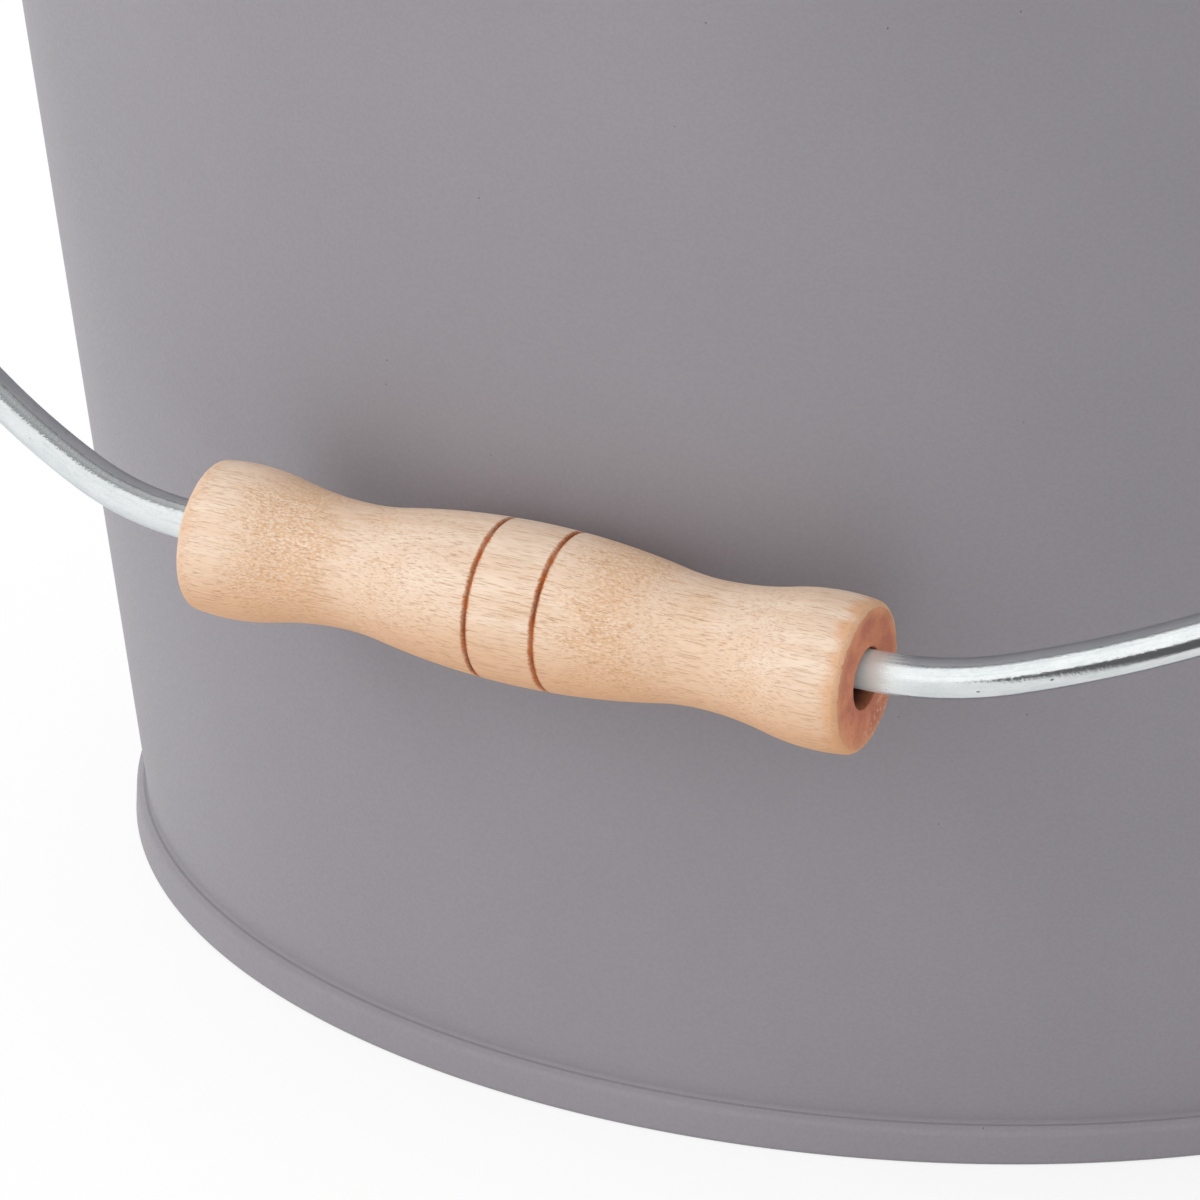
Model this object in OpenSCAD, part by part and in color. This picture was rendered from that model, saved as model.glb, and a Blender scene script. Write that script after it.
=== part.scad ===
// Ash bucket with lid: a tapered sheet-steel bucket with a seamed base, a wire bail with a turned
// wooden grip, and a pressed lid with a wooden knob. Lengths are millimetres and angles degrees.
// The origin is the middle of the base at floor level and +Z is up. The bail swings about the X
// direction through the two ears and hangs to the -Y side, where its grip rests against the wall.

/* [Bucket] */
// Outer radius of the wall, carried down to floor level
base_r = 125; // [110:1:140]
// Height of the rim above the floor
rim_h = 258; // [230:1:290]
// Growth of the wall's radius for each millimetre of height
flare = 0.17; // [0.12:0.01:0.2]
// Thickness of the bucket's sheet steel
sheet = 0.8; // [0.6:0.1:1]
// Diameter of the wire inside the rolled rim
rim_wire_d = 4; // [3:0.5:5]
// Width of the side seam
seam_w = 6; // [4:0.5:8]
// How far the side seam stands out of the wall
seam_proud = 0.8; // [0.4:0.1:1.2]
// Direction of the side seam, turned from +X towards +Y
seam_turn = 128; // [30:1:150]
// Gap between pressed or rolled steel faces that hold each other
fit = 0.05; // [0.02:0.01:0.08]

/* [Base] */
// Height of the seam band round the foot
band_h = 6.3; // [5:0.1:7]
// How far the band's face stands beyond the wall's radius at floor level
band_out = 2.8; // [2.5:0.1:3.5]
// Height of the base pan's floor above the ground
pan_h = 7.4; // [7.2:0.1:10]
// Height of the raised ash floor above the ground
ash_floor_h = 20; // [16:0.5:40]
// Gap between the ash floor's skirt and the wall
ash_floor_gap = 0.6; // [0.4:0.1:0.9]

/* [Ears] */
// Distance from the rim down to the bail's axis
ear_drop = 28; // [28:0.5:34]
// Width of an ear's flange round the wall
ear_w = 56; // [54:1:64]
// Height of an ear's flange
ear_h = 30; // [29:1:32]
// Thickness of an ear's steel
ear_sheet = 1.2; // [1:0.1:1.5]
// How far an ear's raised boss stands off the wall
boss_stand = 10; // [9:0.5:11]
// Radius of the boss at its flat face
boss_face_r = 10.5; // [9.5:0.5:11]
// Radius of the boss where it meets the flange
boss_foot_r = 13; // [12.5:0.5:13.5]
// Gap round the bail's end in the ear's hole
ear_hole_gap = 0.3; // [0.2:0.05:0.4]
// Distance from the bail's axis to each rivet
rivet_out = 20.5; // [20:0.5:21]
// Diameter of a rivet's shank
rivet_d = 4; // [3:0.5:4.5]

/* [Bail] */
// Diameter of the bail's wire
bail_d = 6; // [5:0.5:7]
// Straight wire from the upper arcs to the bail's axis
bail_leg = 37; // [30:1:45]
// Gap between the bail's legs and the lid's curled edge
bail_gap = 4; // [3:0.5:6]
// Radius of the bends beside the grip, along the wire's middle
bend_r = 56; // [45:1:70]
// Angle through which each bend beside the grip turns
bend_turn = 22.5; // [18:0.5:28]
// Radius of the bends into the ears, along the wire's middle
corner_r = 6; // [5:0.5:7]
// Diameter of the upset head on each end of the bail
head_d = 9; // [8.5:0.5:10]
// Thickness of that head
head_t = 2.5; // [2:0.5:3]

/* [Grip] */
// Length of the wooden grip
grip_len = 106; // [100:1:120]
// Diameter of the grip in the middle
grip_mid_d = 24; // [22:0.5:27]
// Diameter of the grip's two waists
grip_waist_d = 18.8; // [18:0.2:20]
// Distance from each end face back to the waist
waist_back = 24.6; // [23:0.2:26]
// Radius of a waist's hollow on the side of the middle
hollow_in_r = 34; // [24:1:44]
// Radius of a waist's hollow on the side of the end
hollow_out_r = 50; // [40:1:56]
// Diameter of the grip's two swollen ends
grip_end_d = 23.2; // [22.8:0.2:24]
// Distance from each end face back to the fullest part of the swelling
swell_back = 5.5; // [5:0.5:6]
// Diameter of the bore for the wire
grip_bore_d = 9; // [8.5:0.1:10]
// Distance between the two burnt grooves
groove_gap = 10.8; // [8:0.2:14]
// Width of a groove
groove_w = 1.3; // [1:0.1:2]
// Depth of a groove
groove_deep = 0.6; // [0.3:0.1:0.9]
// How far the grip has slid along the wire towards +X
grip_slide = 1; // [0:0.1:1]
// Gap between the hanging grip and the bucket's wall
grip_rest_gap = 0.5; // [0.2:0.05:0.8]

/* [Lid] */
// Thickness of the lid's sheet steel
lid_sheet = 0.8; // [0.6:0.1:1]
// Gap between the lid's skirt and the rolled rim
lid_gap = 0.9; // [0.5:0.1:1.5]
// Gap between the lid and the top of the rim that carries it
lid_rest_gap = 0.1; // [0.05:0.05:0.3]
// Depth of the lid's skirt below its flat border
skirt_deep = 9; // [8:0.5:10]
// Width of the flat border that rests on the rim
border_w = 24; // [18:1:30]
// Height of the step inside the border
step_h = 7; // [6:0.5:10]
// Width of the step
step_w = 7; // [6:0.5:10]
// Rise of the crown from the step to the middle
crown_rise = 10; // [6:0.5:16]
// Inner radius of the curl along the lid's edge
curl_in = 0.6; // [0.5:0.1:0.9]

/* [Knob] */
// Diameter of the wooden knob
knob_d = 38; // [34:1:44]
// Height of the wooden knob
knob_h = 34; // [31:1:38]
// Diameter of the knob's neck
neck_d = 18; // [16:1:20]
// Diameter of the knob's foot
foot_d = 24; // [22:1:26]
// Diameter of the steel collar under the knob
collar_d = 32; // [30:1:36]
// Thickness of the collar
collar_t = 1.2; // [1:0.1:1.6]
// Diameter of the knob's screw
screw_d = 5; // [4:0.5:6]
// Length of the screw below its head
screw_len = 24; // [20:1:26]
// Diameter of the washer under the lid
washer_d = 16; // [14:1:20]
// Thickness of the washer
washer_t = 1.2; // [1:0.1:1.6]

/* [Hidden] */
$fn = 96;
wall_fn = 240;

// The wall's cone. lean() turns a distance square to the wall into one along the radius.
taper = atan(flare);
function lean(d) = d / cos(taper);
function wall_r(z) = base_r + flare * z;
function inner_r(z) = wall_r(z) - lean(sheet);

// Rolled rim: radii of the roll about the rim wire, and the wire's place
roll_in = rim_wire_d / 2 + fit;
roll_mid = roll_in + sheet / 2;
roll_out = roll_in + sheet;
roll_z = rim_h - roll_out;
roll_r = wall_r(roll_z) + lean(roll_in);
roll_end_gap = 8;
roll_sweep = 360 - acos(roll_in / roll_out) - roll_end_gap;

// Seam at the foot
wall_foot_z = sheet + fit;
band_r = base_r + band_out;

// Lid
lid_z = rim_h + lid_rest_gap + lid_sheet / 2;
skirt_r = roll_r + roll_out + lid_gap + lid_sheet / 2;
curl_mid = curl_in + lid_sheet / 2;
curl_sweep = 250;
lid_r = skirt_r + curl_mid * 2 + lid_sheet / 2;
step_out_r = skirt_r - border_w;
crown_r = step_out_r - step_w;
seat_r = collar_d / 2 + 4;
crown_sphere = (crown_r * crown_r + crown_rise * crown_rise) / (2 * crown_rise);
crown_centre_z = lid_z + step_h + crown_rise - crown_sphere;
seat_z = crown_centre_z + sqrt(crown_sphere * crown_sphere - seat_r * seat_r);
lid_top_z = seat_z + lid_sheet / 2;
collar_z = lid_top_z + fit;
knob_z = collar_z + collar_t + fit;
washer_z = seat_z - lid_sheet / 2 - fit - washer_t;
screw_z = washer_z - fit;

// Ears: the bail's axis runs along X at this height
axis_z = rim_h - ear_drop;
boss_face_x = wall_r(axis_z) + boss_stand;
ear_hole_r = bail_d / 2 + ear_hole_gap;
rivet_turn = asin(rivet_out / wall_r(axis_z));
rivet_head_r = rivet_d * 0.95;
rivet_head_t = rivet_d * 0.5;
// A flat head on a round wall touches at its edge, so its seat is this far in
rivet_seat = fit + rivet_head_r * rivet_head_r / (2 * wall_r(axis_z));

// Bail, in its own plane: straight, bend, wide arc, leg, corner and the end in the ear
leg_x = lid_r + bail_gap + bail_d / 2;
straight_x = grip_len / 2 + 0.5;
bend_end_x = straight_x + bend_r * sin(bend_turn);
arc_r = (leg_x - bend_end_x) / (1 - sin(bend_turn));
bail_drop = bail_leg + arc_r * cos(bend_turn) + bend_r * (1 - cos(bend_turn));
head_gap = 0.5;
wire_end_x = boss_face_x - ear_sheet - head_gap - head_t;

// The grip hangs on the wire and rests against the wall, which sets the bail's tilt from upright
grip_hang = (grip_bore_d - bail_d) / 2 - 0.1;
grip_drop = bail_drop + grip_hang;
wall_reach = wall_r(axis_z) * cos(taper) + grip_mid_d / 2 + grip_rest_gap;
bail_tilt = asin(wall_reach / grip_drop) - taper;

echo(axis_z = axis_z, bail_tilt = bail_tilt, swing = 360 - 2 * bail_tilt, bail_drop = bail_drop,
     leg_x = leg_x, lid_r = lid_r, arc_r = arc_r,
     grip_y = -grip_drop * sin(bail_tilt), grip_z = axis_z - grip_drop * cos(bail_tilt),
     knob_z = knob_z, top = knob_z + knob_h, screw_z = screw_z);

// Outline helpers. A point is [radius or x, height], and a corner adds the radius that rounds it.
function unit(v) = v / norm(v);
function point(c) = [c[0], c[1]];
function arc(centre, r, from, sweep, steps) =
    [for (i = [0:steps]) let (a = from + sweep * i / steps) centre + r * [cos(a), sin(a)]];
function side_of(a, b, c) = sign((b[0] - a[0]) * (c[1] - b[1]) - (b[1] - a[1]) * (c[0] - b[0]));
function rounded_corner(a, b, c, r) =
    let (
        u = unit(a - b),
        v = unit(c - b),
        half = acos(u * v) / 2,
        centre = b + unit(u + v) * r / sin(half),
        start = b + u * r / tan(half) - centre
    )
    arc(centre, r, atan2(start[1], start[0]), side_of(a, b, c) * (180 - 2 * half), 6);
function rounded(corners) =
    [for (i = [0:len(corners) - 1])
        each i == 0 || i == len(corners) - 1 || corners[i][2] == 0
            ? [point(corners[i])]
            : rounded_corner(point(corners[i - 1]), point(corners[i]), point(corners[i + 1]),
                             corners[i][2])];

// Sheet metal of thickness t along a line of points
function ahead(p, i) = unit(p[min(i + 1, len(p) - 1)] - p[min(i, len(p) - 2)]);
function behind(p, i) = unit(p[max(i, 1)] - p[max(i - 1, 0)]);
function offset_point(p, i, d) =
    let (m = unit(ahead(p, i) + behind(p, i)))
    p[i] + [-m[1], m[0]] * d / (m * ahead(p, i));
function sheet_outline(p, t) = concat(
    [for (i = [0:len(p) - 1]) offset_point(p, i, t / 2)],
    [for (i = [len(p) - 1:-1:0]) offset_point(p, i, -t / 2)]);

// A solid cone that follows the wall, d millimetres outside its face
module cone_round_wall(z0, z1, d) {
    translate([0, 0, z0])
        cylinder(h = z1 - z0, r1 = wall_r(z0) + lean(d), r2 = wall_r(z1) + lean(d), $fn = wall_fn);
}

// Puts its children on the wall's face at the rivets of the +X ear, with +Z pointing outwards
module at_rivets() {
    for (turn = [-rivet_turn, rivet_turn])
        rotate([0, 0, turn])
            translate([wall_r(axis_z), 0, axis_z])
                rotate([0, 90 + taper, 0])
                    children();
}

module rivet_holes() {
    at_rivets()
        cylinder(h = 12, d = rivet_d + 2 * fit, center = true, $fn = 32);
}

// Tapered wall, rolled outwards round the rim wire, with its side seam
module bucket_wall() {
    face = concat(
        [[wall_r(wall_foot_z) - lean(sheet) / 2, wall_foot_z]],
        arc([roll_r, roll_z], roll_mid, 180 - taper, -roll_sweep, 30));
    color([0.60, 0.585, 0.605])
        difference() {
            union() {
                rotate_extrude($fn = wall_fn)
                    polygon(sheet_outline(face, sheet));
                side_seam();
            }
            rivet_holes();
            mirror([1, 0, 0])
                rivet_holes();
        }
}

// Folded strip where the two ends of the wall's sheet lock together
module side_seam() {
    low = band_h + 1;
    high = roll_z - roll_out - 1;
    difference() {
        intersection() {
            cone_round_wall(low, high, seam_proud);
            rotate([0, 0, seam_turn])
                translate([0, -seam_w / 2, low])
                    cube([wall_r(high) + seam_proud * 2, seam_w, high - low]);
        }
        cone_round_wall(low - 1, high + 1, -sheet / 2);
    }
}

// Steel wire inside the rolled rim
module rim_wire() {
    color([0.66, 0.67, 0.68])
        rotate_extrude($fn = wall_fn)
            translate([roll_r, roll_z])
                circle(d = rim_wire_d, $fn = 24);
}

// Floor pan. Its edge goes down inside the wall, under it and up outside it as the seam band.
module base_pan() {
    leg_in = lean(fit + sheet);
    outline = rounded([
        [0, pan_h - sheet, 0],
        [inner_r(pan_h - sheet) - leg_in, pan_h - sheet, 2],
        [inner_r(0) - leg_in, 0, 0.6],
        [band_r, 0, 0.8],
        [band_r, band_h, 0.9],
        [wall_r(band_h) + lean(fit), band_h, 0.6],
        [wall_r(sheet) + lean(fit), sheet, 0],
        [inner_r(sheet) - lean(fit), sheet, 0],
        [inner_r(pan_h) - lean(fit), pan_h, 0],
        [0, pan_h, 0]
    ]);
    color([0.58, 0.565, 0.585])
        rotate_extrude($fn = wall_fn)
            polygon(outline);
}

// Raised floor on a down-turned skirt, which keeps hot ash off the base pan
module ash_floor() {
    mid_z = ash_floor_h - sheet / 2;
    inset = lean(ash_floor_gap + sheet / 2);
    foot_z = pan_h + fit;
    line = rounded([
        [0, mid_z, 0],
        [inner_r(mid_z) - inset, mid_z, 3],
        [inner_r(foot_z) - inset, foot_z, 0]
    ]);
    color([0.55, 0.54, 0.56])
        rotate_extrude($fn = wall_fn)
            polygon(sheet_outline(line, sheet));
}

// Solid of an ear's boss along +X, drawn in by d for the hollow under the pressed steel
module ear_boss(d) {
    foot_x = wall_r(axis_z) - 8;
    slope = (boss_foot_r - boss_face_r) / boss_stand;
    outline = rounded([
        [0, boss_face_x - d, 0],
        [boss_face_r - d, boss_face_x - d, 2.5 - d],
        [boss_face_r - d + slope * (boss_face_x - foot_x), foot_x, 0],
        [0, foot_x, 0]
    ]);
    translate([0, 0, axis_z])
        rotate([0, 90, 0])
            rotate_extrude()
                polygon(outline);
}

// Pressed ear: a flange curved to the wall, and a hollow boss with the hole for the bail
module right_ear() {
    low = axis_z - ear_h / 2 - 1;
    high = axis_z + ear_h / 2 + 1;
    color([0.60, 0.585, 0.605])
        difference() {
            union() {
                intersection() {
                    cone_round_wall(low, high, fit + ear_sheet);
                    ear_flange_shape();
                }
                ear_boss(0);
            }
            cone_round_wall(low - 20, high + 20, fit);
            ear_boss(ear_sheet);
            translate([0, 0, axis_z])
                rotate([0, 90, 0])
                    cylinder(h = boss_face_x + 10, r = ear_hole_r, $fn = 48);
            rivet_holes();
        }
}

// Outline of the flange seen along X: a bar with two round ends
module ear_flange_shape() {
    reach = ear_w / 2 - ear_h / 2;
    depth = wall_r(axis_z) * 1.5;
    for (y = [-reach, reach])
        translate([0, y, axis_z])
            rotate([0, 90, 0])
                cylinder(h = depth, d = ear_h);
    translate([0, -reach, axis_z - ear_h / 2])
        cube([depth, reach * 2, ear_h]);
}

module left_ear() {
    mirror([1, 0, 0])
        right_ear();
}

// Round-headed rivets through an ear and the wall, closed flat inside the bucket
module right_ear_rivets() {
    outer_z = fit + ear_sheet + rivet_seat;
    inner_z = -sheet - rivet_seat;
    ball_r = (rivet_head_r * rivet_head_r + rivet_head_t * rivet_head_t) / (2 * rivet_head_t);
    color([0.62, 0.605, 0.625])
        at_rivets() {
            translate([0, 0, outer_z])
                intersection() {
                    translate([0, 0, rivet_head_t - ball_r])
                        sphere(r = ball_r, $fn = 48);
                    cylinder(h = ball_r, r = ball_r, $fn = 48);
                }
            translate([0, 0, inner_z - rivet_d * 0.1])
                cylinder(h = outer_z - inner_z + rivet_d * 0.2, d = rivet_d, $fn = 32);
            translate([0, 0, inner_z - rivet_d * 0.3])
                cylinder(h = rivet_d * 0.3, r = rivet_head_r * 0.85, $fn = 32);
        }
}

module left_ear_rivets() {
    mirror([1, 0, 0])
        right_ear_rivets();
}

// Moves what is drawn about the bail's axis, hanging straight down, to its place at rest
module at_rest_tilt() {
    translate([0, 0, axis_z])
        rotate([-bail_tilt, 0, 0])
            children();
}

// Moves its children by a round step and then by the small rest, so that neighbouring stretches of
// the wire meet face to face
module place(v) {
    step = [for (c = v) round(c * 100) / 100];
    translate(step)
        translate(v - step)
            children();
}

// Part of a wire ring in the XZ plane, from an angle above +X and turning towards +Z
module wire_arc(x, z, r, from, sweep) {
    place([x, 0, z])
        rotate([90, 0, 0])
            rotate_extrude(angle = sweep, start = from, $fn = wall_fn)
                place([r, 0])
                    circle(d = bail_d, $fn = 32);
}

// Straight wire that starts at x and z and runs along X, back towards -X
module wire_along_x(x, z, length, d) {
    place([x, 0, z])
        rotate([0, -90, 0])
            cylinder(h = length, d = d, $fn = 32);
}

// Galvanised wire handle with upset heads inside the ears
module bail_wire() {
    color([0.70, 0.72, 0.74])
        at_rest_tilt()
            union() {
                bail_side();
                mirror([1, 0, 0])
                    bail_side();
            }
}

// Each straight starts where an arc ends and runs on inside the next straight
module bail_side() {
    leg_run = (bail_leg - corner_r) * 0.6;
    wire_along_x(straight_x, -bail_drop, straight_x * 1.2, bail_d);
    wire_arc(straight_x, bend_r - bail_drop, bend_r, -90, bend_turn);
    wire_arc(leg_x - arc_r, -bail_leg, arc_r, bend_turn - 90, 90 - bend_turn);
    place([leg_x, 0, -bail_leg])
        cylinder(h = leg_run, d = bail_d, $fn = 32);
    place([leg_x, 0, -corner_r])
        rotate([180, 0, 0])
            cylinder(h = leg_run, d = bail_d, $fn = 32);
    wire_arc(leg_x - corner_r, -corner_r, corner_r, 0, 90);
    wire_along_x(leg_x - corner_r, 0, leg_x - corner_r - wire_end_x - head_t / 2, bail_d);
    wire_along_x(wire_end_x + head_t, 0, head_t, head_d);
}

// Half of the grip's turned outline as [distance from the middle, radius]: a full middle, a hollow
// waist and a swollen end, each arc running into the next. full_arc() is the radius of the full arc
// that touches a hollow arc of radius r, where its top is dx away from the waist and h higher.
function full_arc(dx, h, r) = dx * dx / (2 * h) + h / 2 - r;
waist_x = grip_len / 2 - waist_back;
swell_x = grip_len / 2 - swell_back;
waist_r = grip_waist_d / 2;
belly_r = full_arc(waist_x, grip_mid_d / 2 - waist_r, hollow_in_r);
swell_r = full_arc(swell_x - waist_x, grip_end_d / 2 - waist_r, hollow_out_r);
belly_slope = asin(waist_x / (belly_r + hollow_in_r));
swell_slope = asin((swell_x - waist_x) / (swell_r + hollow_out_r));
end_round = 1.1;
end_angle = asin((swell_back - end_round) / (swell_r - end_round));
edge_r = grip_end_d / 2 - swell_r + (swell_r - end_round) * cos(end_angle);
groove_skin = grip_mid_d / 2 - belly_r * (1 - cos(asin(groove_gap / 2 / belly_r)));
grip_half = concat(
    arc([0, grip_mid_d / 2 - belly_r], belly_r, 90, -belly_slope, 8),
    arc([waist_x, waist_r + hollow_in_r], hollow_in_r, 270 - belly_slope, belly_slope, 5),
    arc([waist_x, waist_r + hollow_out_r], hollow_out_r, 270, swell_slope, 6),
    arc([swell_x, grip_end_d / 2 - swell_r], swell_r, 90 + swell_slope, -swell_slope - end_angle, 8),
    arc([grip_len / 2 - end_round, edge_r], end_round, 90 - end_angle, end_angle - 90, 5));

// Turned wooden grip, loose on the wire
module bail_grip() {
    half = [for (p = grip_half) [p[1], p[0]]];
    other = [for (i = [len(half) - 1:-1:1]) [half[i][0], -half[i][1]]];
    color([0.84, 0.67, 0.49])
        at_rest_tilt()
            translate([grip_slide, 0, -grip_drop])
                rotate([0, 90, 0])
                    difference() {
                        rotate_extrude()
                            polygon(concat([[0, -grip_len / 2]], other, half, [[0, grip_len / 2]]));
                        cylinder(h = grip_len + 2, d = grip_bore_d, center = true, $fn = 48);
                        for (z = [-groove_gap / 2, groove_gap / 2])
                            translate([0, 0, z])
                                grooving_ring(groove_skin);
                    }
}

// Ring with a V section that cuts a burnt groove into turned wood of radius r
module grooving_ring(r) {
    over = 1;
    wide = groove_w / 2 * (1 + over / groove_deep);
    rotate_extrude()
        polygon([[r - groove_deep, 0], [r + over, -wide], [r + over, wide]]);
}

// Pressed lid: flat border on the rim, step, crown and a skirt with a curled edge
module lid_shell() {
    crown = arc([0, crown_centre_z], crown_sphere, 90 - asin(seat_r / crown_sphere),
                asin(seat_r / crown_sphere) - asin(crown_r / crown_sphere), 8);
    curl_z = lid_z - skirt_deep + curl_mid;
    line = concat(
        rounded(concat(
            [[0, seat_z, 0]],
            [for (i = [0:len(crown) - 2]) [crown[i][0], crown[i][1], 0]],
            [
                [crown_r, lid_z + step_h, 4],
                [step_out_r, lid_z, 3],
                [skirt_r, lid_z, 2.2],
                [skirt_r, curl_z + 0.5, 0]
            ])),
        arc([skirt_r + curl_mid, curl_z], curl_mid, 180, curl_sweep, 16));
    color([0.60, 0.585, 0.605])
        difference() {
            rotate_extrude($fn = wall_fn)
                polygon(sheet_outline(line, lid_sheet));
            translate([0, 0, seat_z])
                cylinder(h = 4, d = screw_d + 2 * screw_gap, center = true, $fn = 32);
        }
}
screw_gap = 0.3;

// Domed steel collar between the lid and the knob
module knob_collar() {
    outline = rounded([
        [screw_d / 2 + screw_gap, 0, 0],
        [collar_d / 2, 0, 0.3],
        [collar_d / 2 - 1, collar_t, 0.6],
        [screw_d / 2 + screw_gap, collar_t, 0]
    ]);
    color([0.70, 0.72, 0.74])
        translate([0, 0, collar_z])
            rotate_extrude()
                polygon(outline);
}

// Turned wooden knob with one burnt groove round its head
module lid_knob() {
    head_z = knob_h * 0.5;
    crown_z = knob_h - 1.5;
    outline = rounded([
        [0, 0, 0],
        [foot_d / 2, 0, 0.8],
        [foot_d / 2, 3.5, 1.5],
        [neck_d / 2, knob_h * 0.28, 7],
        [knob_d / 2, head_z, 5],
        [knob_d / 2, crown_z, 8.5],
        [0, knob_h, 0]
    ]);
    color([0.84, 0.67, 0.49])
        translate([0, 0, knob_z])
            difference() {
                rotate_extrude()
                    polygon(outline);
                translate([0, 0, -1])
                    cylinder(h = screw_top_z - knob_z + 2, d = screw_d + 2 * fit, $fn = 32);
                translate([0, 0, (head_z + crown_z) / 2 - 2])
                    grooving_ring(knob_d / 2);
            }
}

// Screw from below through washer, lid and collar into the knob
screw_top_z = screw_z + screw_len;
screw_head_d = screw_d * 1.9;
screw_head_t = screw_d * 0.6;
module knob_screw() {
    slot_w = screw_d * 0.24;
    color([0.70, 0.72, 0.74])
        difference() {
            union() {
                translate([0, 0, screw_z])
                    cylinder(h = screw_len, d = screw_d, $fn = 32);
                translate([0, 0, screw_z - screw_head_t])
                    rotate_extrude($fn = 48)
                        polygon(rounded([
                            [0, 0, 0],
                            [screw_head_d / 2, 0, screw_head_t * 0.8],
                            [screw_head_d / 2, screw_head_t, 0],
                            [0, screw_head_t, 0]
                        ]));
            }
            for (turn = [0, 90])
                rotate([0, 0, turn])
                    translate([-screw_head_d / 3, -slot_w / 2, screw_z - screw_head_t - 1])
                        cube([screw_head_d * 2 / 3, slot_w, screw_head_t * 0.6 + 1]);
        }
}

module knob_washer() {
    color([0.70, 0.72, 0.74])
        translate([0, 0, washer_z])
            difference() {
                cylinder(h = washer_t, d = washer_d, $fn = 48);
                translate([0, 0, -1])
                    cylinder(h = washer_t + 2, d = screw_d + 2 * screw_gap, $fn = 32);
            }
}

bucket_wall();
rim_wire();
base_pan();
ash_floor();
left_ear();
right_ear();
left_ear_rivets();
right_ear_rivets();
bail_wire();
bail_grip();
lid_shell();
lid_knob();
knob_collar();
knob_screw();
knob_washer();
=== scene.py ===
# %% [markdown]
# # An ash bucket with a lid
# The finished CAD model gives every size, and this lesson gives it its looks: a powder-coated steel
# bucket, a galvanised wire bail with a turned wooden grip, and a pressed lid with a wooden knob.

# %% Load the CAD model
import math
from functools import partialmethod

import bmesh
import bpy
from mathutils import Matrix, Vector, noise


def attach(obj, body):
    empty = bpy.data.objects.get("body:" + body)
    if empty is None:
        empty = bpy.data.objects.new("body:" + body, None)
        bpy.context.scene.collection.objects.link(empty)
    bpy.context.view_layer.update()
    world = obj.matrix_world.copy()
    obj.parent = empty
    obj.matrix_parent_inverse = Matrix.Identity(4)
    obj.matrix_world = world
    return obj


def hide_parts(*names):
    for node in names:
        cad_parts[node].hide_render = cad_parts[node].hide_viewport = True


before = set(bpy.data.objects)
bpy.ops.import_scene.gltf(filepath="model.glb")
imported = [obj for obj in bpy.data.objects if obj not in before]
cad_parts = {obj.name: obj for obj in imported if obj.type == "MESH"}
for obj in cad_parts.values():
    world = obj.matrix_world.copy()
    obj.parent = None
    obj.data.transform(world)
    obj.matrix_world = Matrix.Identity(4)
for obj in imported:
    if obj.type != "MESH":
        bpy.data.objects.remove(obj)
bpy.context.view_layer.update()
print("CAD nodes:", sorted(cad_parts))

# %% [markdown]
# ## Camera
# The photograph is a close view from the front, 24 degrees round to the right and 22 degrees up,
# with a long lens, so lines that are parallel stay almost parallel. The camera looks at a point
# near the grip, from 1.2 m away, and leans by less than 3 degrees.

# %% Camera
VIEW_TURN, VIEW_RISE, VIEW_LEAN = (math.radians(a) for a in (24.458, 21.924, 2.727))
VIEW_DISTANCE, AIM_LEFT, AIM_DOWN = 1.20733, 0.011534, 0.005371
NEAR_GRIP = Vector((0, -0.100, 0.080))


def added(name, data):
    """A new object, linked into the scene"""
    thing = bpy.data.objects.new(name, data)
    bpy.context.scene.collection.objects.link(thing)
    return thing


back = Vector((math.sin(VIEW_TURN) * math.cos(VIEW_RISE),
               -math.cos(VIEW_TURN) * math.cos(VIEW_RISE), math.sin(VIEW_RISE)))
right = Vector((math.cos(VIEW_TURN), math.sin(VIEW_TURN), 0))
up = back.cross(right)
aim = NEAR_GRIP - right * AIM_LEFT - up * AIM_DOWN
leaning_right = right * math.cos(VIEW_LEAN) + up * math.sin(VIEW_LEAN)
leaning_up = up * math.cos(VIEW_LEAN) - right * math.sin(VIEW_LEAN)

lens = bpy.data.cameras.new("camera")
lens.sensor_width, lens.lens = 36, 239.52
lens.clip_start, lens.clip_end = 0.05, 20
camera = added("camera", lens)
camera.matrix_world = Matrix.Translation(aim + back * VIEW_DISTANCE) @ Matrix(
    (leaning_right, leaning_up, back)).transposed().to_4x4()
bpy.context.scene.camera = camera
bpy.context.scene.view_settings.view_transform = "Standard"
print("camera at", [round(x, 3) for x in camera.matrix_world.translation])

# %% [markdown]
# ## Outlines
# Nearly every piece of a bucket is turned or pressed round one middle line, so it is fully given by
# half of its section. A section could be drawn with Bezier curves, but lines and arcs in
# millimetres are how a toolmaker writes it, and they follow the CAD to the last tenth.

# %% Arcs and rounded corners
MM = 0.001


def arc(centre, radius, start, sweep, steps):
    """Points on an arc, from a start angle through a sweep, in degrees"""
    angles = [math.radians(start + sweep * i / steps) for i in range(steps + 1)]
    return [Vector(centre) + radius * Vector((math.cos(a), math.sin(a))) for a in angles]


def rounded_corner(before, corner, after, radius, steps):
    u, v = (before - corner).normalized(), (after - corner).normalized()
    half = u.angle(v) / 2
    centre = corner + (u + v).normalized() * radius / math.sin(half)
    start = corner + u * radius / math.tan(half) - centre
    way = (corner - before).cross(after - corner)
    sweep = math.copysign(180 - math.degrees(2 * half), way)
    return arc(centre, radius, math.degrees(math.atan2(start.y, start.x)), sweep, steps)


def rounded(corners, steps=10):
    """Corners as (radius, height, rounding), made into a line of points"""
    points = [Vector(c[:2]) for c in corners]
    line = [points[0]]
    for i in range(1, len(points) - 1):
        if corners[i][2]:
            line += rounded_corner(*points[i - 1:i + 2], corners[i][2], steps)
        else:
            line.append(points[i])
    return line + [points[-1]]


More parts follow.
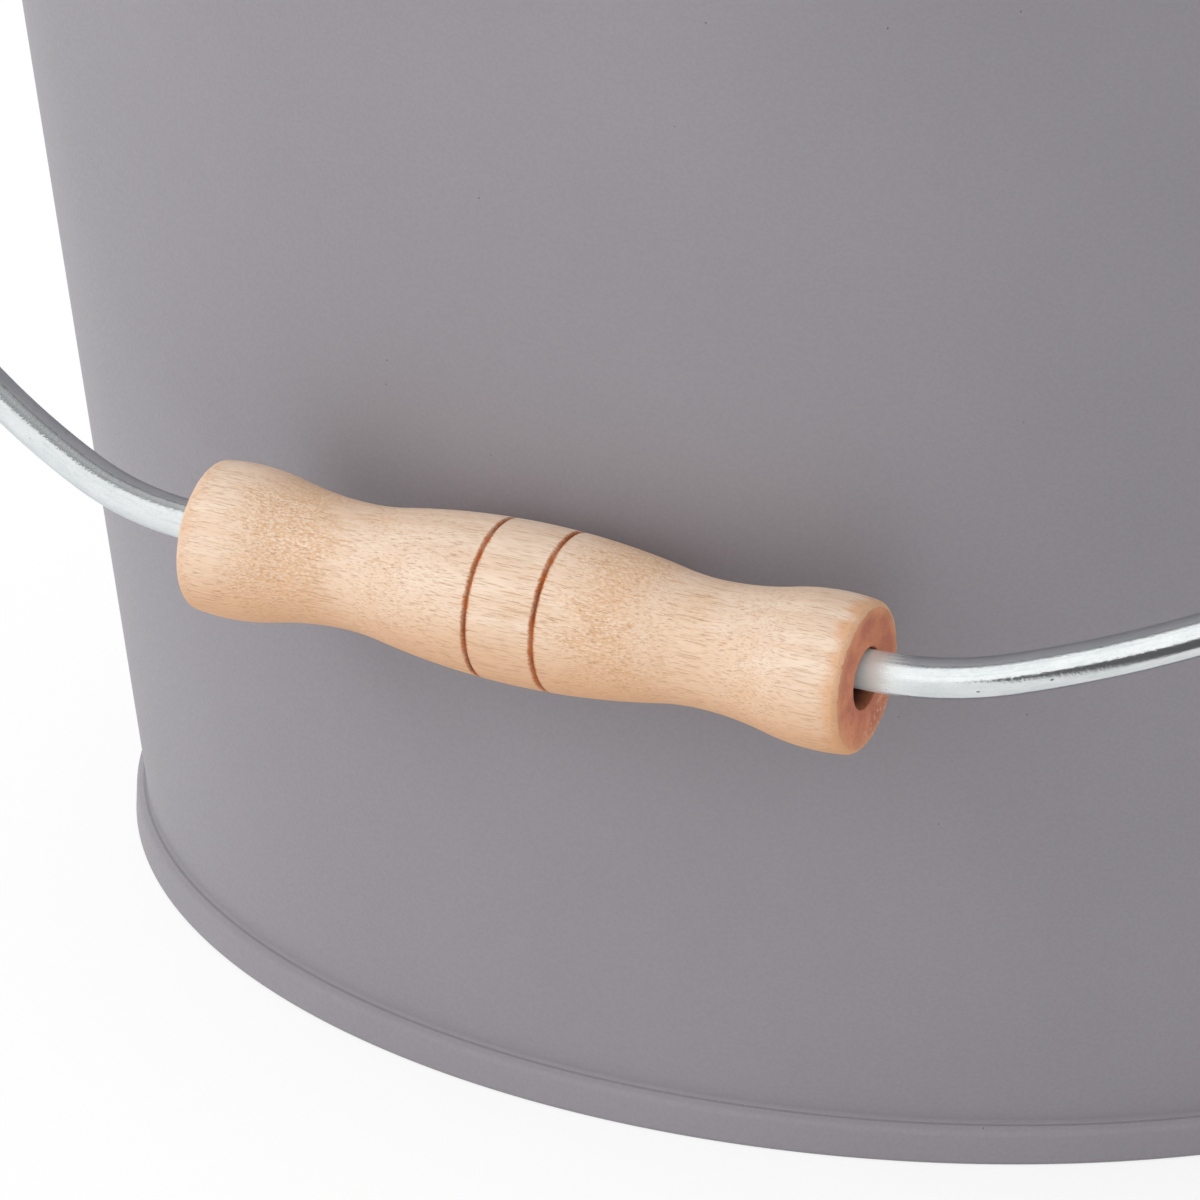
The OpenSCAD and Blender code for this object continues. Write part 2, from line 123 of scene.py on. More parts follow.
def sheet_outline(line, thick):
    """Both faces of sheet metal whose middle follows the line"""
    faces = []
    for i, p in enumerate(line):
        ahead = (line[min(i + 1, len(line) - 1)] - line[min(i, len(line) - 2)]).normalized()
        behind = (line[max(i, 1)] - line[max(i - 1, 0)]).normalized()
        middle = (ahead + behind).normalized()
        faces.append((p, Vector((-middle.y, middle.x)) * thick / 2 / middle.dot(ahead)))
    return [p + d for p, d in faces] + [p - d for p, d in reversed(faces)]


print("a rounded corner has", len(rounded([(0, 0, 0), (9, 0, 2), (9, 9, 0)])), "points")

# %% [markdown]
# Shading is worked out at the points and spread between them. On a long straight stretch that ends
# in an arc, the arc's slope would bleed across the whole stretch, so each long stretch gets a few
# more points close to its ends.

# %% More points on long stretches
LONG_STRETCH, LONGEST_STEP = 8, 14.0
NEAR_END, NEXT_TO_END = 0.3, 1


def steadied(line, closed=False):
    steady = []
    for i, p in enumerate(line):
        steady.append(p)
        if i == len(line) - 1 and not closed:
            break
        step = line[(i + 1) % len(line)] - p
        if step.length > LONG_STRETCH:
            inner = step.length - 2 * NEXT_TO_END
            count = max(1, math.ceil(inner / LONGEST_STEP))
            shares = [NEAR_END / step.length, NEXT_TO_END / step.length]
            shares += [(NEXT_TO_END + inner * k / count) / step.length for k in range(1, count)]
            shares += [1 - NEXT_TO_END / step.length, 1 - NEAR_END / step.length]
            steady += [p + step * share for share in shares]
    return steady


print("a line of 40 mm has", len(steadied([Vector((0, 0)), Vector((40, 0))])), "points")

# %% [markdown]
# ## Trees of nodes
# Shapes and finishes are both made by trees of nodes, built in the same way: a node is added, its
# inputs take values or links, and one of its outputs goes on.

# %% A helper for node trees
class NodeTree:
    """Adds nodes to a tree. Each method gives back the output that goes on."""
    family = ""

    def __init__(self, tree):
        self.tree = tree

    def put(self, socket, value):
        if isinstance(value, bpy.types.NodeSocket):
            self.tree.links.new(value, socket)
        else:
            socket.default_value = value

    def node(self, kind, output=0, inputs=(), **settings):
        """A type is given by the end of its name, or in full where it is of another family."""
        node = self.tree.nodes.new(kind if "Node" in kind else self.family + kind)
        for key, value in settings.items():
            setattr(node, key, value)
        for key, value in dict(inputs).items():
            self.put(node.inputs[key], value)
        return node.outputs[output]


class ShapeTree(NodeTree):
    """A Geometry Nodes tree with named inputs, of which the first is the shape it starts from"""
    family = "GeometryNode"

    def __init__(self, name, inputs):
        super().__init__(bpy.data.node_groups.new(name, "GeometryNodeTree"))
        sockets = self.tree.interface
        for label, kind in {"Shape": "Geometry", **inputs, "Finish": "Material"}.items():
            sockets.new_socket(label, in_out="INPUT", socket_type="NodeSocket" + kind)
        sockets.new_socket("Shape", in_out="OUTPUT", socket_type="NodeSocketGeometry")
        self.given = self.tree.nodes.new("NodeGroupInput").outputs

    def chain(self, shape, *steps):
        """Adds nodes one after the other. Each step is a node type with the values of its inputs."""
        for kind, values in steps:
            shape = self.node(kind, 0, {0: shape, **values})
        return shape

    def circle(self):
        return self.node("CurvePrimitiveCircle", "Curve", {
            "Resolution": self.given["Steps round"], "Radius": self.given["Radius"]})

    def attribute(self, name, kind):
        return self.node("InputNamedAttribute", "Attribute", {"Name": name}, data_type=kind)

    def stored(self, shape, name, kind, value):
        return self.node("StoreNamedAttribute", "Geometry", {
            "Geometry": shape, "Name": name, "Value": value}, data_type=kind)

    def end(self, shape):
        """Every tree ends alike: real points, smooth shading, the finish, and out"""
        shape = self.chain(shape, ("RealizeInstances", {}), ("SetShadeSmooth", {}),
                           ("SetMaterial", {"Material": self.given["Finish"]}))
        self.put(self.tree.nodes.new("NodeGroupOutput").inputs[0], shape)


# %% [markdown]
# ### A tree that turns a section
# Spinning a section in mesh code would do, but a Geometry Nodes tree says what happens, in order:
# the section becomes a curve, a circle carries it round, double points at the middle are merged and
# the finish is set. The same tree then makes the wall, pan, floor, lid, grip and knob. Curve to
# Mesh puts a point (a, b) of the section at radius R + a and height -b, so the section goes in that
# way round.

# %% The turning tree
turning = ShapeTree("turned round a circle", {"Radius": "Float", "Steps round": "Int"})
section = turning.chain(turning.given["Shape"], ("MeshToCurve", {}))
turning.end(turning.chain(turning.circle(), ("CurveToMesh", {"Profile Curve": section}),
                          ("MergeByDistance", {"Distance": 1e-6})))
print("turning tree:", len(turning.tree.nodes), "nodes")

# %% [markdown]
# A tree's result is turned into a plain mesh at once. An input is set by its identifier, before the
# object is evaluated for the first time. Faces are then turned outwards, and edges sharper than
# 40 degrees stay crisp.

# %% From tree to plain mesh
def line_mesh(name, points, closed):
    mesh = bpy.data.meshes.new(name)
    edges = [(i, i + 1) for i in range(len(points) - 1)]
    mesh.from_pydata(points, edges + ([(len(points) - 1, 0)] if closed else []), [])
    return mesh


def crisp(mesh, outwards=True):
    shape = bmesh.new()
    shape.from_mesh(mesh)
    if outwards:
        bmesh.ops.recalc_face_normals(shape, faces=shape.faces)
    for face in shape.faces:
        face.smooth = True
    shape.to_mesh(mesh)
    shape.free()
    mesh.set_sharp_from_angle(angle=math.radians(40))
    return mesh


def made_plain(piece, outwards=True):
    """Takes a piece's modifiers off and keeps what they made as its mesh"""
    seen = piece.evaluated_get(bpy.context.evaluated_depsgraph_get())
    done = bpy.data.meshes.new_from_object(seen)
    piece.modifiers.clear()
    piece.data = crisp(done, outwards)
    print(piece.name, "has", len(done.polygons), "faces")
    return piece


def made_with(name, mesh, tree, values):
    """Runs a tree on a mesh, and gives back the piece as a plain mesh"""
    piece = added(name, mesh)
    step = piece.modifiers.new(tree.name, "NODES")
    step.node_group = tree
    for socket in tree.interface.items_tree:
        if socket.in_out == "INPUT" and socket.name in values:
            step[socket.identifier] = values[socket.name]
    return made_plain(piece)


def turned_piece(name, section, finish, closed=False, steps=360):
    """A section in millimetres, as (radius, height), turned round the Z axis"""
    radius = max(p[0] for p in section)
    points = [((p[0] - radius) * MM, -p[1] * MM, 0) for p in steadied(section, closed)]
    return made_with(name, line_mesh(name, points, closed), turning.tree, {
        "Radius": radius * MM, "Steps round": steps, "Finish": finish})


# %% [markdown]
# ## Finishes
# A finish is a small tree of shader nodes. Every pattern reads Object coordinates in metres, and a
# Mapping node centres it, turns it and divides by the size of its features, so a size in the code
# is a size on the real surface.

# %% Helpers for shader trees
def srgb(*levels):
    """A colour as seen on a screen, 0 to 255, made into the linear values that a shader wants"""
    parts = [v / 255 for v in levels]
    return tuple(p / 12.92 if p <= 0.04045 else ((p + 0.055) / 1.055) ** 2.4 for p in parts) + (1,)


def darker(colour, by):
    return tuple(c * by for c in colour[:3]) + (1,)


class Shading(NodeTree):
    """The sums and mixtures that finishes and the sky are made of"""
    family = "ShaderNode"

    def calculated(self, how, a, b=0.0):
        return self.node("Math", 0, {0: a, 1: b}, operation=how)

    # Each of these is calculated() with its first value filled in
    plus = partialmethod(calculated, "ADD")
    minus = partialmethod(calculated, "SUBTRACT")
    times = partialmethod(calculated, "MULTIPLY")
    power = partialmethod(calculated, "POWER")
    larger = partialmethod(calculated, "MAXIMUM")
    less_than = partialmethod(calculated, "LESS_THAN")
    positive = partialmethod(calculated, "ABSOLUTE")

    def ramp(self, value, low, high, first=0.0, last=1.0):
        """Goes softly from first to last while the value goes from low to high"""
        return self.node("MapRange", 0, {"Value": value, "From Min": low, "From Max": high,
                                         "To Min": first, "To Max": last},
                         interpolation_type="SMOOTHSTEP")

    def between(self, share, a, b):
        """A number between two others"""
        return self.node("Mix", 0, {0: share, 2: a, 3: b})

    def tint(self, share, a, b):
        """A colour between two others"""
        return self.node("Mix", 2, {0: share, 6: a, 7: b}, data_type="RGBA")

    def layered(self, tone, *layers):
        """Lays colours over a tone, each as far as its share says"""
        for share, colour in layers:
            tone = self.tint(share, tone, colour)
        return tone

    def axes(self, vector):
        return self.node("SeparateXYZ", 0, {0: vector}).node.outputs


class Finish(Shading):
    """A material under construction. A centre and a turn give the piece's own axes, and an
    attribute can stand in for Object coordinates."""

    def __init__(self, name, centre=(0, 0, 0), turn=(0, 0, 0), attribute=None):
        self.material = bpy.data.materials.new(name)
        self.material.use_nodes = True
        super().__init__(self.material.node_tree)
        self.shader = self.tree.nodes["Principled BSDF"]
        self.centre, self.turn = centre, turn
        if attribute:
            self.place = self.node("Attribute", "Vector", attribute_name=attribute)
        else:
            self.place = self.node("TexCoord", "Object")

    def surface(self, **inputs):
        for key, value in inputs.items():
            self.put(self.shader.inputs[key.replace("_", " ")], value)
        return self.material

    def spread(self, size):
        """Coordinates in units of a feature's size: one size, or three along the piece's own axes"""
        where = {"Vector": self.place, "Scale": (size,) * 3}
        if isinstance(size, tuple):
            where.update({"Location": self.centre, "Rotation": self.turn, "Scale": size})
        return self.node("Mapping", 0, where, vector_type="TEXTURE")

    def cloud(self, size, detail=2.0, rough=0.5):
        return self.node("TexNoise", "Fac", {"Vector": self.spread(size), "Scale": 1.0,
                                             "Detail": detail, "Roughness": rough})

    def spots(self, cell, size, share, stretch=None):
        """Round specks with a soft edge, in a share of the cells"""
        cells = self.node("TexVoronoi", 0, {"Vector": self.spread(stretch or cell),
                                            "Scale": 1.0}).node.outputs
        near = self.ramp(cells["Distance"], size / cell * 0.6, size / cell, 1.0, 0.0)
        chance = self.node("SeparateColor", 0, {0: cells["Color"]})
        return self.times(near, self.less_than(chance, share))

    def bump(self, height, depth, under=None):
        below = {"Normal": under} if under else {}
        return self.node("Bump", 0, {"Height": height, "Distance": depth, "Strength": 1.0, **below})


# %% [markdown]
# ### Powder coat
# The bucket is sprayed with grey powder and baked. The film flows out to a very fine orange peel of
# about half a millimetre, so it is matt with a soft wide gloss, and a few grains of dust stay in
# it, some dark and some light. A plain grey would look like plastic: the peel breaks the gloss up,
# and a slow drift in tone keeps a large wall from looking printed. Just above the foot's band the
# coat is painted a little darker: painted shade in the crease.

# %% Powder coat
GREY = srgb(147, 143, 149)
CREASE_FROM, CREASE_TO = (0.0061, 0.0063), (0.0069, 0.0095)


def powder_coat(name, colour):
    coat = Finish(name)
    drift = coat.ramp(coat.cloud(0.06, 3.0), 0.3, 0.7)
    fine = coat.ramp(coat.cloud(0.0006), 0.3, 0.7)
    height = coat.axes(coat.place)["Z"]
    # Painted shade: the coat is darker just above the foot's band, in the crease.
    painted_crease_shade = coat.times(coat.ramp(height, *CREASE_FROM), coat.ramp(height, *CREASE_TO, 0.25, 0.0))
    tone = coat.tint(drift, darker(colour, 0.975), darker(colour, 1.025))
    tone = coat.layered(tone, (fine, coat.tint(0.05, tone, (0, 0, 0, 1))),
                        (coat.spots(0.0060, 0.00016, 0.30), darker(colour, 0.45)),
                        (coat.spots(0.0083, 0.00014, 0.30), darker(colour, 1.35)),
                        (painted_crease_shade, darker(colour, 0.86)))
    peel = coat.cloud(0.00055, 1.5)
    dust = coat.spots(0.0060, 0.00020, 0.30)
    return coat.surface(Base_Color=tone, Roughness=coat.ramp(fine, 0, 1, 0.50, 0.56),
                        Normal=coat.bump(peel, 0.000006, coat.bump(dust, 0.00004)))


coated_steel = powder_coat("grey powder coat", GREY)
# The base's coat is painted 1% lighter than the wall's: painted light on the foot's band.
coated_base = powder_coat("grey powder coat on the base", darker(GREY, 1.01))
print("powder coat:", [round(c, 3) for c in GREY[:3]])

# %% [markdown]
# ### Galvanised wire
# The bail is drawn through a die and dipped in zinc. Drawing leaves fine scratches along the wire
# and the zinc leaves dull streaks and small pits. Under the grip and close beside it the zinc is
# painted paler, as a painted highlight, and it is also less metallic and rougher there. The
# pattern follows the wire, so it reads an attribute that holds the wire laid out straight: metres
# along it from the middle, and two across its section.

# %% Galvanised wire
GRIP_ON_WIRE = 0.002
PAINTED_PALE_TO = (0.0525, 0.0605)


def galvanised_wire(name):
    zinc = Finish(name, attribute="laid_straight")
    streak = zinc.cloud((0.050, 0.00045, 0.00045), 3.0, 0.6)
    waver = zinc.cloud((0.006, 0.0018, 0.0018), 4.0, 0.7)
    dull = zinc.ramp(zinc.plus(streak, zinc.ramp(waver, 0.3, 0.7, -0.06, 0.06)), 0.56, 0.66)
    pits = zinc.spots(0.0016, 0.00020, 0.20, (0.0026, 0.0014, 0.0014))
    grain = zinc.cloud((0.0005, 0.00035, 0.00035), 2.0, 0.6)
    scratch = zinc.cloud((0.02, 0.00016, 0.00016))
    relief = zinc.bump(scratch, 0.000002, zinc.bump(grain, 0.000026, zinc.bump(pits, -0.00003)))

    from_grip = zinc.positive(zinc.minus(zinc.axes(zinc.place)["X"], GRIP_ON_WIRE))
    uneven = zinc.ramp(streak, 0.3, 0.7, -0.0012, 0.0012)
    # Painted highlight: near the grip the zinc is painted paler; it is also less metallic and rougher
    # there.
    painted_pale_zinc = zinc.ramp(zinc.plus(from_grip, uneven), *PAINTED_PALE_TO, 1.0, 0.0)
    tone = zinc.layered(
        srgb(216, 219, 219), (zinc.ramp(waver, 0.35, 0.7), srgb(206, 211, 212)),
        (zinc.times(dull, 0.10), srgb(140, 149, 154)), (zinc.times(pits, 0.8), srgb(84, 90, 95)),
        (zinc.ramp(grain, 0.45, 0.70, 0.0, 0.06), srgb(120, 130, 138)),
        (painted_pale_zinc, srgb(234, 240, 239)))
    rough =zinc.plus(zinc.ramp(waver, 0.3, 0.7, 0.06, 0.13), zinc.times(painted_pale_zinc, 0.24))
    return zinc.surface(Base_Color=tone, Metallic=zinc.ramp(painted_pale_zinc, 0.0, 1.0, 0.90, 0.30),
                        Roughness=rough, Normal=relief, Specular_Tint=srgb(216, 220, 224))


def plated_steel(name, colour, rough):
    """Small turned or stamped fittings with a thin bright coat"""
    plate = Finish(name)
    cloudy = plate.cloud(0.004, 4.0, 0.6)
    fine = plate.cloud((0.00012, 0.00012, 0.0015))
    tone = plate.tint(plate.ramp(cloudy, 0.35, 0.7), colour, darker(colour, 0.78))
    return plate.surface(Base_Color=tone, Metallic=1.0,
                         Roughness=plate.ramp(cloudy, 0.3, 0.7, rough, rough + 0.14),
                         Normal=plate.bump(fine, 0.000006))


zinc_wire = galvanised_wire("galvanised wire")
zinc_fittings = plated_steel("zinc-plated fittings", srgb(203, 208, 212), 0.26)
drawn_wire = plated_steel("plain drawn wire", srgb(176, 178, 180), 0.32)
print("metals:", zinc_wire.name, "|", zinc_fittings.name, "|", drawn_wire.name)

# %% [markdown]
# ### Turned wood
# The grip and the knob are turned from a pale, close-grained hardwood and sanded, without varnish.
# Wood is a bundle of long fibres, so every pattern is stretched along the grain: faint bands of
# growth, short open pores, and tan clouds across the grain where the fibres rise and dip. The cut
# ends drink more light and look reddish brown, and each groove was burnt in with a wire.

# %% Turned wood
class TurnedWood(Finish):
    """The piece's own axis is X once the Mapping node has moved and turned it."""

    def __init__(self, name, centre, turn, half_length, end_r, grooves, bore_r=0.0, figured=()):
        super().__init__(name, centre, turn)
        self.half_length = half_length
        self.x, self.y, self.z = self.axes(self.spread((1.0, 1.0, 1.0)))
        self.off_axis = self.power(self.plus(self.power(self.y, 2.0), self.power(self.z, 2.0)), 0.5)
        self.from_middle = self.positive(self.x)
        self.growth = self.cloud((0.060, 0.0024, 0.0050), 3.0, 0.55)
        self.fibre = self.cloud((0.0060, 0.00020, 0.00020), 3.0, 0.65)
        self.ragged = self.cloud(0.0014, 3.0, 0.6)
        rim = self.plus(self.off_axis, self.ramp(self.ragged, 0.3, 0.7, -0.00012, 0.00012))
        end = self.times(self.ramp(rim, end_r - 0.0001, end_r + 0.0001, 1.0, 0.0),
                         self.ramp(self.from_middle, half_length - 0.0010, half_length - 0.0009))
        tone, hollows = self.pores(self.grain(figured))
        tone = self.layered(self.darker_end_bands(tone), (end, self.end_grain(end_r)))
        tone = self.burnt(tone, grooves)
        if bore_r:
            tone = self.bored(tone, bore_r)
        self.sanded(tone, hollows, end)

    def grain(self, figured):
        """Growth and fibres, tan clouds at the figured places, and a lower side in painted shade"""
        drift = self.ramp(self.growth, 0.3, 0.7, -0.004, 0.004)
        where = self.ramp(self.cloud((0.0090, 0.0150, 0.0150)), 0.50, 0.72, 0.0, 0.45)
        for middle, wide in figured:
            away = self.plus(self.positive(self.minus(self.x, middle)), drift)
            where = self.larger(where, self.ramp(away, wide * 0.3, wide, 1.0, 0.0))
        stipple = self.cloud((0.00062, 0.00028, 0.00028), 2.0, 0.6)
        patch = self.times(self.ramp(stipple, 0.41, 0.58, 0.12, 1.0), where)
        return self.layered(
            srgb(245, 222, 200), (self.ramp(self.growth, 0.35, 0.68), srgb(238, 209, 183)),
            (self.ramp(self.fibre, 0.45, 0.70, 0.0, 0.56), srgb(224, 184, 147)),
            (self.times(patch, 0.62), srgb(218, 167, 114)),
            # Painted shade: the lower side, where Z is low, is tinted warmer and darker.
            (self.ramp(self.z, -0.0105, 0.0048, 0.95, 0.0), srgb(229, 177, 133)))

    def pores(self, tone):
        """Two sizes of short open pores, which are also given back as hollows for the relief"""
        coarse = self.ramp(self.cloud((0.0056, 0.00020, 0.00020), 1.5), 0.60, 0.74)
        fine = self.ramp(self.cloud((0.0026, 0.00012, 0.00012), 1.0), 0.58, 0.74)
        tone = self.layered(tone, (self.times(coarse, 0.28), srgb(182, 128, 86)),
                            (self.times(fine, 0.46), srgb(184, 129, 86)))
        return tone, self.plus(coarse, self.times(fine, 0.6))

    def darker_end_bands(self, tone):
        """A darker band beside each end face, stronger at the +X end"""
        reach = self.plus(self.from_middle, self.ramp(self.growth, 0.3, 0.7, -0.0008, 0.0008))
        edge = self.ramp(reach, self.half_length - 0.0032, self.half_length - 0.0006)
        strength = self.ramp(self.x, -0.01, 0.01, 0.22, 0.62)
        return self.tint(self.times(edge, strength), tone, srgb(224, 162, 112))

    def end_grain(self, end_r):
        """Sawn across: stained, ragged, splinters out on one side, a painted highlight at its rim"""
        chipped = self.times(self.ramp(self.cloud(0.0009), 0.56, 0.62),
                             self.ramp(self.minus(self.y, self.z), 0.0065, 0.0105))
        return self.layered(
            srgb(221, 143, 105), (self.ramp(self.cloud(0.0055), 0.35, 0.65), srgb(194, 114, 88)),
            (self.ramp(self.ragged, 0.52, 0.72, 0.0, 0.26), srgb(160, 92, 66)),
            # Painted highlight: the end face is paler towards its rim.
            (self.ramp(self.off_axis, end_r * 0.80, end_r, 0.0, 0.5), srgb(230, 168, 122)),
            (self.times(chipped, 0.42), srgb(244, 210, 186)))

    def burnt(self, tone, grooves):
        """Grooves as (place, half of the width): scorched, and charred here and there in the middle"""
        frayed = self.ramp(self.cloud((0.0009, 0.00035, 0.00035)), 0.3, 0.7, -0.00011, 0.00011)
        scorched = core = 0.0
        for middle, wide in grooves:
            reach = self.plus(self.positive(self.minus(self.x, middle)), frayed)
            scorched = self.larger(scorched, self.ramp(reach, wide * 0.3, wide, 1.0, 0.0))
            core = self.larger(core, self.ramp(reach, 0.0, wide * 0.6, 1.0, 0.0))
        uneven = self.ramp(self.cloud(0.0025), 0.3, 0.75, 1.0, 0.62)
        charred = self.ramp(self.cloud(0.0050), 0.38, 0.62, 0.10, 0.74)
        return self.layered(tone, (self.times(scorched, uneven), srgb(190, 106, 44)),
                            (self.times(core, charred), srgb(112, 56, 28)))

    def bored(self, tone, bore_r):
        # The bore's wall is tinted brown and darker deeper in; the darkening with depth is painted
        # shade.
        inside = self.ramp(self.off_axis, bore_r + 0.00005, bore_r + 0.0004, 1.0, 0.0)
        bore_painted_shade = self.ramp(self.from_middle, self.half_length - 0.0030, self.half_length - 0.0004,
                         1.0, 0.0)
        return self.tint(inside, tone, self.tint(bore_painted_shade, srgb(166, 98, 64), srgb(80, 42, 28)))

    def sanded(self, tone, hollows, end):
        height = self.minus(self.times(self.fibre, 0.5), hollows)
        torn = self.times(self.minus(self.ragged, 0.5), end)
        self.surface(Base_Color=tone, Roughness=self.ramp(self.fibre, 0.3, 0.7, 0.56, 0.68),
                     Normal=self.bump(height, 0.00005, self.bump(torn, 0.0004)))


# %% Wood of the grip and of the knob
GRIP_CENTRE = Vector((1.0, -153.437, 92.6908)) * MM
HALF_GRIP, END_FACE_R, BORE_R, GROOVE_X = 53.0, 10.45, 4.5, 5.4
KNOB_Z, KNOB_H, KNOB_R, KNOB_GROOVE_Z = 277.007, 34.0, 19.0, 22.75
GRIP_SCORCH, KNOB_SCORCH = 0.00074, 0.00050

half_knob = KNOB_H / 2
grip_wood = TurnedWood("turned wood of the grip", GRIP_CENTRE, (0, 0, 0), HALF_GRIP * MM,
                       END_FACE_R * MM, [(x * MM, GRIP_SCORCH) for x in (-GROOVE_X, GROOVE_X)],
                       BORE_R * MM, figured=[(-0.036, 0.011), (0.0165, 0.0095)]).material
knob_wood = TurnedWood("turned wood of the knob", Vector((0, 0, KNOB_Z + half_knob)) * MM,
                       (0, -math.pi / 2, 0), half_knob * MM, 0.0,
                       [((KNOB_GROOVE_Z - half_knob) * MM, KNOB_SCORCH)]).material
print("wood:", grip_wood.name, "|", knob_wood.name)

# %% [markdown]
# ## The bucket
# The wall is one sheet rolled into a cone and closed with a folded seam. Its top edge is rolled
# outwards round a wire, which makes the rim stiff and safe to hold. Sheet metal is drawn by its
# middle line and given its thickness on both sides.

# %% Sizes of the bucket
BASE_R, RIM_H, FLARE, SHEET, FIT = 125.0, 258.0, 0.17, 0.8, 0.05
TAPER = math.atan(FLARE)


def lean(d):
    """A distance square to the wall, measured along the radius"""
    return d / math.cos(TAPER)


def wall_r(z):
    return BASE_R + FLARE * z


def inner_r(z):
    return wall_r(z) - lean(SHEET)


ROLL_IN = 2.05
ROLL_OUT = ROLL_IN + SHEET
ROLL_Z = RIM_H - ROLL_OUT
ROLL_R = wall_r(ROLL_Z) + lean(ROLL_IN)
print("the wall leans out by", round(math.degrees(TAPER), 2), "degrees")

# %% Wall with its rolled rim
WALL_FOOT, ROLL_SHORT_BY = 0.85, 8
sweep = 360 - math.degrees(math.acos(ROLL_IN / ROLL_OUT)) - ROLL_SHORT_BY
face = [Vector((wall_r(WALL_FOOT) - lean(SHEET) / 2, WALL_FOOT))]
face += arc((ROLL_R, ROLL_Z), ROLL_IN + SHEET / 2, 180 - math.degrees(TAPER), -sweep, 48)
wall = turned_piece("wall", sheet_outline(face, SHEET), coated_steel, closed=True)

# %% [markdown]
# ### Side seam
# The two ends of the sheet hook into each other and are pressed flat. Outside, one edge of the seam
# is the round fold and the other is the step where the lower sheet goes under it. That is a strip
# with a section of its own, stood up the wall, so plain mesh code makes it and joins it to the wall.

# %% Side seam
def coated_mesh(shape, name):
    """Turns a shape made in mesh code into a mesh with the bucket's finish"""
    mesh = bpy.data.meshes.new(name)
    shape.to_mesh(mesh)
    shape.free()
    mesh.materials.append(coated_steel)
    return mesh


def seam_strip(width=6.0, proud=0.8, turn=128.0, low=7.3, high=251.3, levels=40):
    """The section is (across, height), in shares of the seam's width and of how far it stands out."""
    section = [(-0.5, -0.35), (-0.5, 0.30), (-0.485, 0.62), (-0.46, 0.84), (-0.42, 0.96),
               (-0.36, 1.0), (-0.1, 1.0), (0.2, 0.99), (0.36, 0.98), (0.42, 0.93), (0.45, 0.80),
               (0.46, 0.45), (0.48, 0.12), (0.5, -0.35)]
    lowest, rounding = 0.45, 1.2
    shape = bmesh.new()
    rows = []
    for k in range(levels + 1):
        z = low + (high - low) * k / levels
        near_end = min(z - low, high - z)
        rise = min(1.0, lowest + (1 - lowest) * math.sqrt(min(1.0, near_end / rounding)))
        row = []
        for across, height in section:
            out = wall_r(z) + lean((height * rise if height > 0 else height) * proud)
            angle = math.radians(turn) + across * width / wall_r(z)
            point = (out * math.cos(angle), out * math.sin(angle), z)
            row.append(shape.verts.new([v * MM for v in point]))
        rows.append(row)
    for below, above in zip(rows, rows[1:]):
        for i in range(len(section)):
            j = (i + 1) % len(section)
            shape.faces.new((below[i], below[j], above[j], above[i]))
    shape.faces.new(rows[0])
    shape.faces.new(rows[-1])
    return crisp(coated_mesh(shape, "side seam"))


def joined(piece, mesh):
    """Adds another mesh of the same finish to a piece"""
    shape = bmesh.new()
    shape.from_mesh(piece.data)
    shape.from_mesh(mesh)
    shape.to_mesh(piece.data)
    shape.free()


joined(wall, seam_strip())
print("wall and seam have", len(wall.data.polygons), "faces")

# %% [markdown]
# ### Base pan and ash floor
# The pan is pressed with a deep edge that is folded round the foot of the wall and rolled tight.
# From outside it is a band with a soft top edge. The powder fills the corner above it to a small
# fillet, so only a thin crease is left. A second floor stands on the pan, on its own skirt, and
# keeps the embers off it.

# %% Base pan
BAND_R, BAND_H, PAN_H, FILLET_H = 127.8, 6.3, 7.4, 0.6
LEG = lean(FIT + SHEET)
pan_outline = rounded([
    (0, PAN_H - SHEET, 0), (inner_r(PAN_H - SHEET) - LEG, PAN_H - SHEET, 2),
    (inner_r(0) - LEG, 0, 0.6), (BAND_R, 0, 0.8), (BAND_R, BAND_H - 1.0, 1.6),
    (BAND_R - 1.0, BAND_H - 0.08, 0.4), (BAND_R - 1.38, BAND_H - 0.03, 0),
    (BAND_R - 1.6, BAND_H + 0.03, 0.3), (wall_r(BAND_H + FILLET_H), BAND_H + FILLET_H, 0),
    (wall_r(SHEET) + lean(FIT), SHEET, 0),
    (inner_r(SHEET) - lean(FIT), SHEET, 0), (inner_r(PAN_H) - lean(FIT), PAN_H, 0),
    (0, PAN_H, 0)])
base_pan = turned_piece("pan", pan_outline, coated_base)

# %% Ash floor
SKIRT_Z, ASH_FLOOR_Z = 7.45, 19.6
inset = lean(1.0)
floor_line = rounded([(0, ASH_FLOOR_Z, 0), (inner_r(ASH_FLOOR_Z) - inset, ASH_FLOOR_Z, 3),
                      (inner_r(SKIRT_Z) - inset, SKIRT_Z, 0)])
raised_floor = turned_piece("raised_floor", sheet_outline(floor_line, SHEET), coated_steel)

# %% [markdown]
# ## Ears and rivets
# Each ear is a pressed plate that carries one end of the bail: a flat flange curved to the wall,
# and a hollow boss with the hole in its face. Its height over the wall is a rule, the higher of a
# cone and a boss with a soft fillet between them, so it is a grid of rings from the hole out to the
# edge. Solidify gives the steel its thickness and Bevel breaks its edges.

# %% Height of an ear
AXIS_Z, EAR_SHEET, EAR_W, EAR_H, EAR_FILLET = 230.0, 1.2, 56, 30, 1.6
BOSS_FACE = wall_r(AXIS_Z) + 10
BOSS_FLAT_R, BOSS_ROUND, BOSS_SIDE_R, BOSS_SIDE_X, BOSS_SIDE_SLOPE = 8.0, 2.5, 10.42, 1.88, 4


